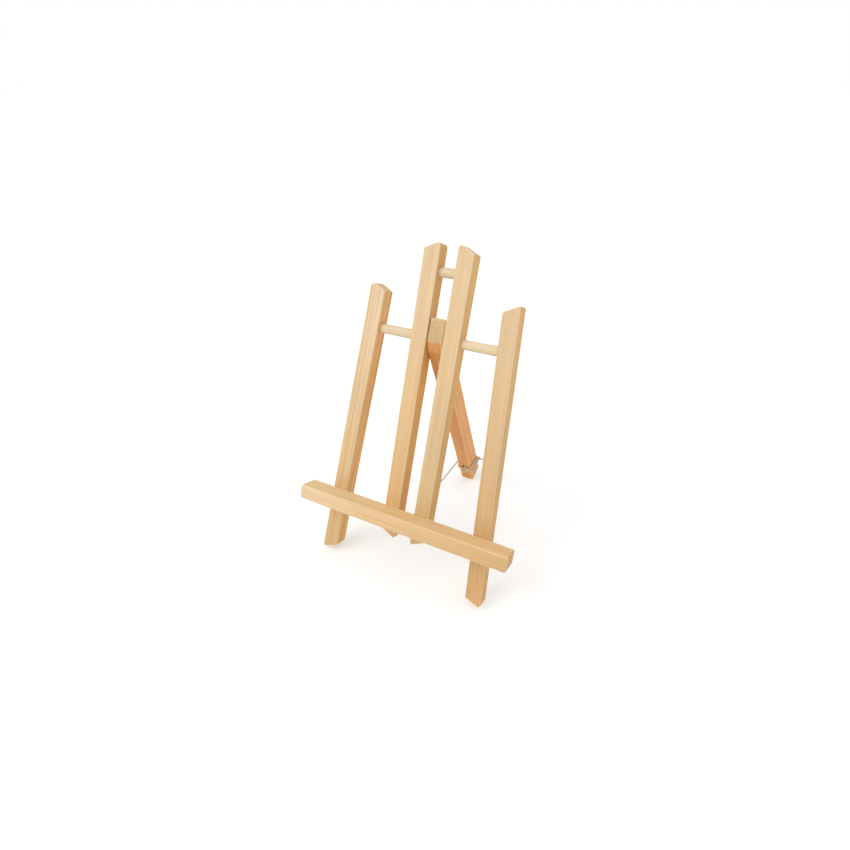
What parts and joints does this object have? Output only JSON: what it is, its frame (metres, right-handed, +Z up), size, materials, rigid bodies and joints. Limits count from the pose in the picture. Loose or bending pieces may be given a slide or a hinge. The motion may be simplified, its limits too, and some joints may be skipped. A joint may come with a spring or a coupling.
{
  "type": "table-top folding easel",
  "caption": "Small folding wooden display easel: uprights joined by round rungs, a front ledge for a canvas, and a hinged rear leg held by a limit cord.",
  "frame": {"origin": "on the floor, under the middle of the wooden pieces' bounding box, with the leg open", "axes": "+Z up, -Y towards the viewer (the ledge side), +X to the viewer's right"},
  "size_m": [0.19, 0.1734, 0.2621],
  "materials": {
    "pine_stile": "sanded, unvarnished pine with straight grain",
    "pine_ledge": "sanded, unvarnished pine",
    "pine_leg": "sanded, unvarnished pine, slightly warmer",
    "birch_dowel": "turned dowel, pale and smooth",
    "steel_nail": "bright wire nail",
    "cotton_cord": "twisted natural cotton string"
  },
  "bodies": {
    "frame": {"outer_stile_left": "pine_stile", "inner_stile_left": "pine_stile", "inner_stile_right": "pine_stile", "outer_stile_right": "pine_stile", "ledge": "pine_ledge", "long_dowel": "birch_dowel", "top_dowel": "birch_dowel", "ledge_nail_outer_left": "steel_nail", "ledge_nail_inner_left": "steel_nail", "ledge_nail_inner_right": "steel_nail", "ledge_nail_outer_right": "steel_nail", "limit_cord": "cotton_cord", "stile_knot": "cotton_cord"},
    "prop": {"rear_leg": "pine_leg", "leg_loop": "cotton_cord", "leg_knot": "cotton_cord"}
  },
  "joints": [
    {"name": "leg_fold", "type": "hinge", "parent": "frame", "child": "prop", "pos_m": [0, -0.00891, 0.19338], "axis": [-1, 0, 0], "range_deg": [0, 44], "deforming": ["limit_cord"]}
  ]
}
